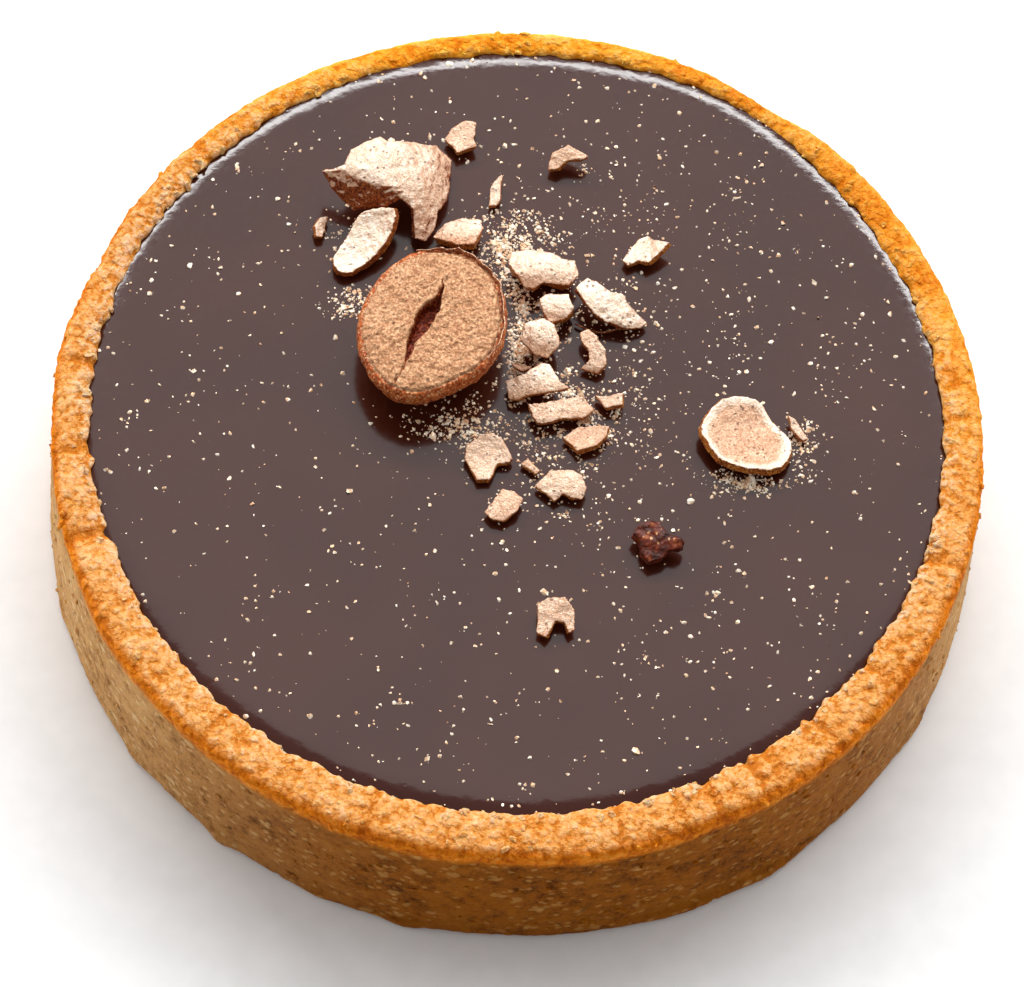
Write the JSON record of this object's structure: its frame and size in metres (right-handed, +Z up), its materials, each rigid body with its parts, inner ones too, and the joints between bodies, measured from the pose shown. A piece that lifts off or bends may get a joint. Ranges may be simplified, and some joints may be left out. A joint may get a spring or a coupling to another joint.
{
  "type": "chocolate tart",
  "caption": "Small round chocolate tart: a straight-sided shortcrust case filled flush with glossy ganache, topped with half a hazelnut and broken copper-dusted shells.",
  "frame": {"origin": "centre of the flat base, on the surface that the tart stands on", "axes": "+Z up out of the filling; +Y towards the back, where the rim is thinnest; +X to the right"},
  "size_m": [0.0806, 0.0806, 0.0214],
  "materials": {
    "baked_shortcrust": "baked sandy shortcrust, golden brown, matt and crumbly",
    "set_ganache": "set dark chocolate ganache, smooth and glossy",
    "copper_dusted_hazelnut": "roasted hazelnut under a fine copper shimmer dust",
    "copper_dusted_shell": "brittle broken shell under a fine copper shimmer dust",
    "dark_chocolate": "broken dark chocolate, satin"
  },
  "bodies": {
    "root": {"chip_behind_shell": "copper_dusted_shell", "chip_by_round_shell": "copper_dusted_shell", "chip_by_shard": "copper_dusted_shell", "chip_standing": "copper_dusted_shell", "chocolate_bit": "dark_chocolate", "chunk_by_nut": "copper_dusted_shell", "chunk_by_shell": "copper_dusted_shell", "chunk_long": "copper_dusted_shell", "chunk_ridged": "copper_dusted_shell", "chunk_square": "copper_dusted_shell", "crust": "baked_shortcrust", "flake_arched": "copper_dusted_shell", "flake_bar": "copper_dusted_shell", "flake_bitten": "copper_dusted_shell", "flake_crescent": "copper_dusted_shell", "flake_fan": "copper_dusted_shell", "flake_kidney": "copper_dusted_shell", "flake_leaf": "copper_dusted_shell", "flake_notched": "copper_dusted_shell", "flake_raised": "copper_dusted_shell", "flake_sliver": "copper_dusted_shell", "ganache": "set_ganache", "hazelnut_half": "copper_dusted_hazelnut", "shard_flat": "copper_dusted_shell", "shard_long": "copper_dusted_shell", "shell_folded": "copper_dusted_shell", "shell_petal": "copper_dusted_shell", "shell_round": "copper_dusted_shell", "sliver_behind": "copper_dusted_shell"}
  },
  "joints": []
}
